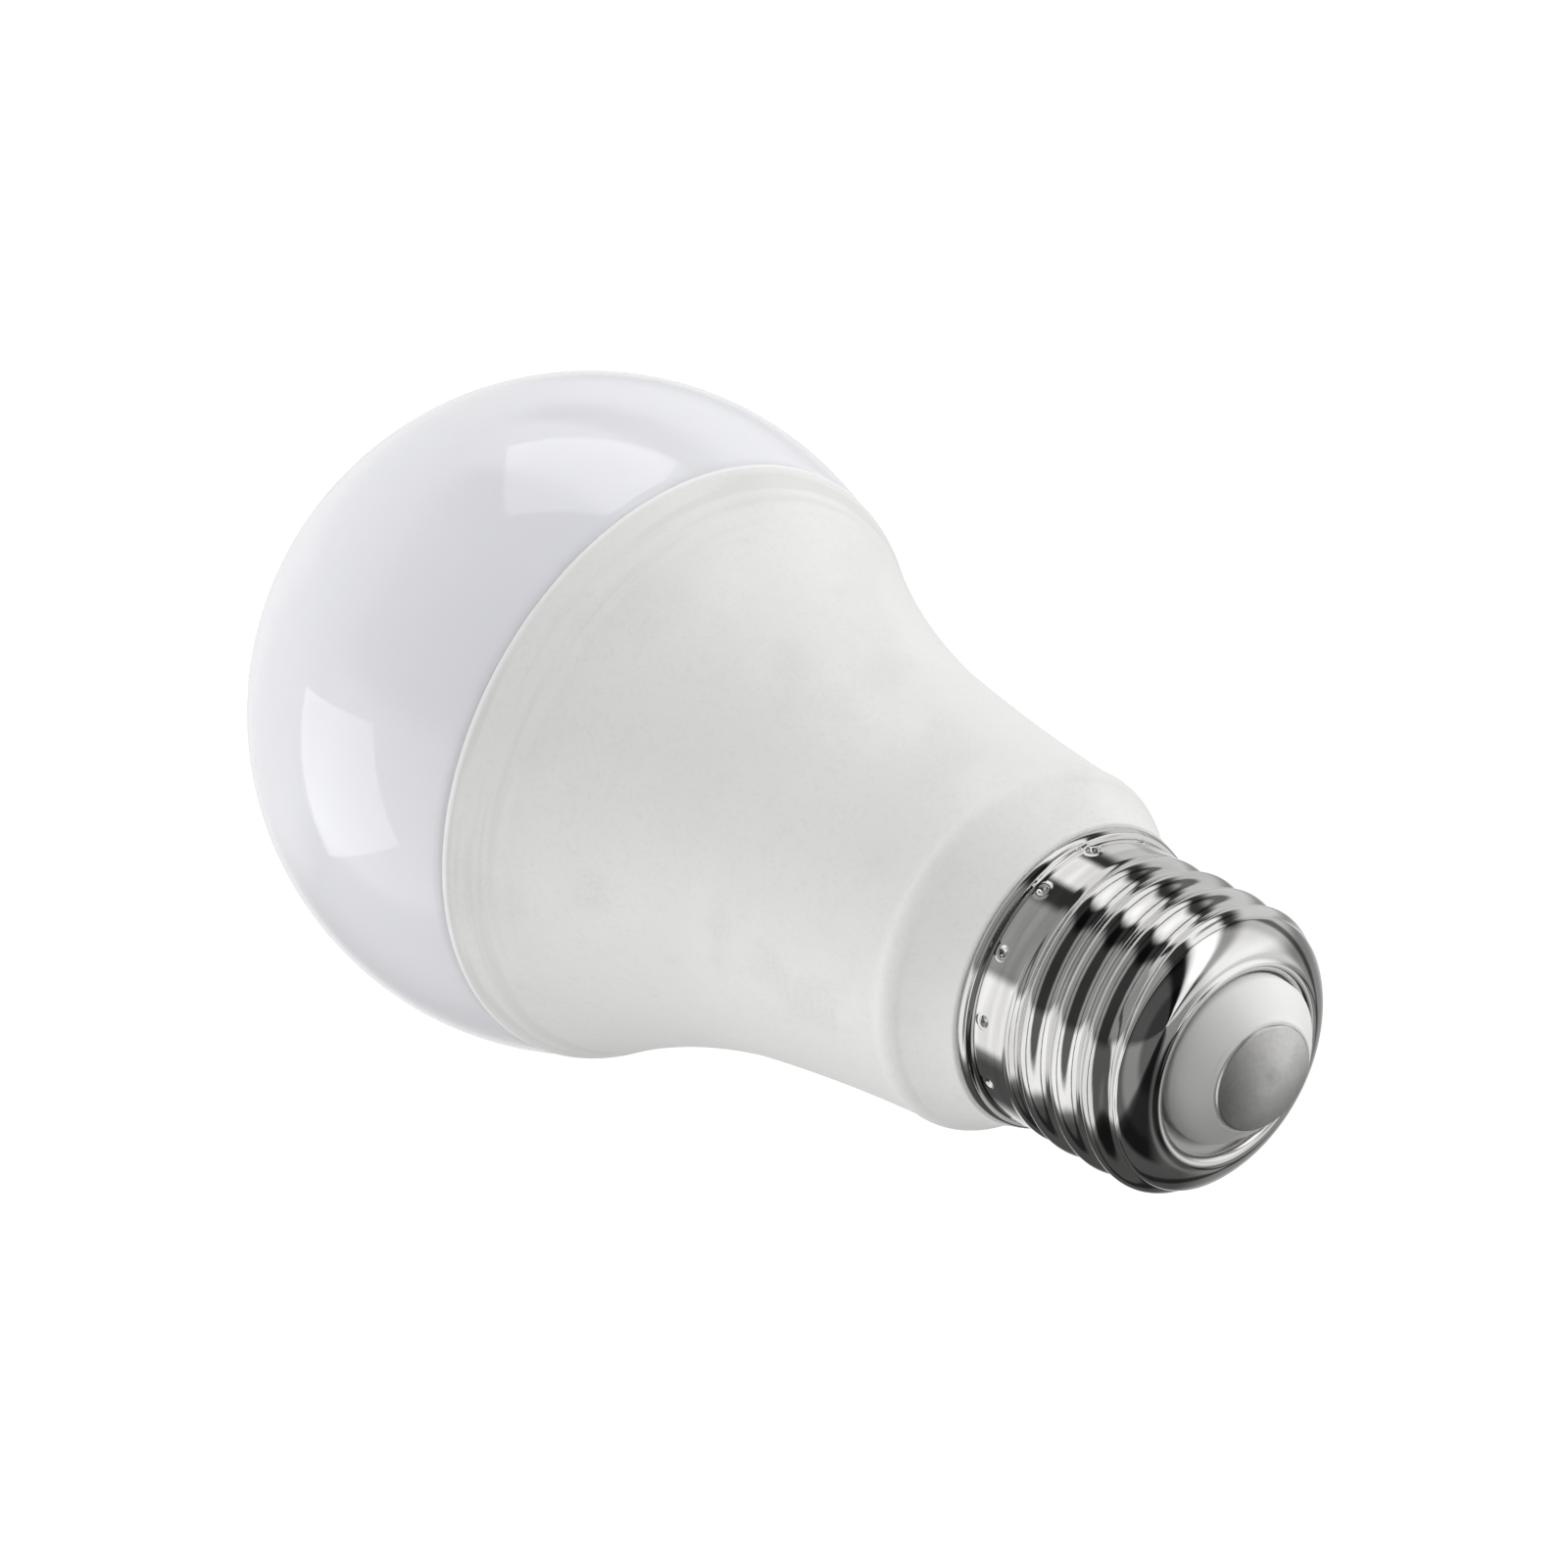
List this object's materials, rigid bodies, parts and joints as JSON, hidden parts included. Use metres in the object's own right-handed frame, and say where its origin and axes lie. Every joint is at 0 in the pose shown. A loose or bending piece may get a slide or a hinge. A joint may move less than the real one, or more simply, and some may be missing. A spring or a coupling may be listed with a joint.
{
  "type": "smart light bulb",
  "caption": "LED lamp with a wireless module: milky globe dome, flared matte housing and rolled screw cap.",
  "frame": {"origin": "tip of the centre contact, on the lamp's axis", "axes": "+Z along the lamp's axis, out of the cap, so the dome hangs down at negative Z; -Y is the driver board's front"},
  "size_m": [0.06, 0.06, 0.1142],
  "materials": {
    "milky_dome": "milky polycarbonate, smooth gloss",
    "clear_silicone": "cured silicone, satin",
    "housing_white": "fine matte moulded grain, warm white",
    "plated_cap": "nickel plate over rolled sheet, bright",
    "insulator_white": "satin moulded plastic",
    "plated_contact": "satin nickel plate",
    "pressed_aluminium": "pressed aluminium sheet",
    "gap_pad_grey": "soft filled silicone",
    "board_white": "white solder mask",
    "phosphor_cool": "pale yellow phosphor in a white package",
    "phosphor_warm": "amber phosphor in a white package",
    "led_clear_lens": "clear resin over three dies",
    "zinc_steel": "zinc plated",
    "board_green": "green solder mask on glass epoxy",
    "sleeve_black": "shrunk sleeve",
    "film_yellow": "moulded case",
    "ferrite": "sintered ferrite",
    "enamelled_copper": "enamelled copper wire",
    "black_epoxy": "moulded epoxy",
    "resistor_body": "flameproof coating",
    "varistor_blue": "dipped coating",
    "board_black": "black solder mask",
    "tinned_steel": "tinned steel, drawn",
    "gold_trace": "gold flash over copper",
    "black_nylon": "moulded nylon",
    "white_nylon": "moulded nylon",
    "wire_red": "silicone insulated wire",
    "wire_white": "silicone insulated wire"
  },
  "bodies": {
    "root": {"diffuser_dome": "milky_dome", "dome_adhesive_ring": "clear_silicone", "outer_housing": "housing_white", "screw_shell": "plated_cap", "base_insulator": "insulator_white", "centre_contact": "plated_contact", "heat_sink_cup": "pressed_aluminium", "thermal_pad": "gap_pad_grey", "led_board": "board_white", "cool_white_leds": "phosphor_cool", "warm_white_leds": "phosphor_warm", "colour_leds": "led_clear_lens", "led_board_screws": "zinc_steel", "driver_board": "board_green", "bulk_capacitor": "sleeve_black", "output_capacitor": "sleeve_black", "filter_capacitor": "film_yellow", "inductor_core": "ferrite", "inductor_winding": "enamelled_copper", "bridge_rectifier": "black_epoxy", "fuse_resistor": "resistor_body", "varistor": "varistor_blue", "driver_chip": "black_epoxy", "radio_board": "board_black", "radio_shield_can": "tinned_steel", "antenna_trace": "gold_trace", "radio_header": "black_nylon", "led_header": "white_nylon", "line_lead": "wire_red", "neutral_lead": "wire_white"}
  },
  "joints": []
}
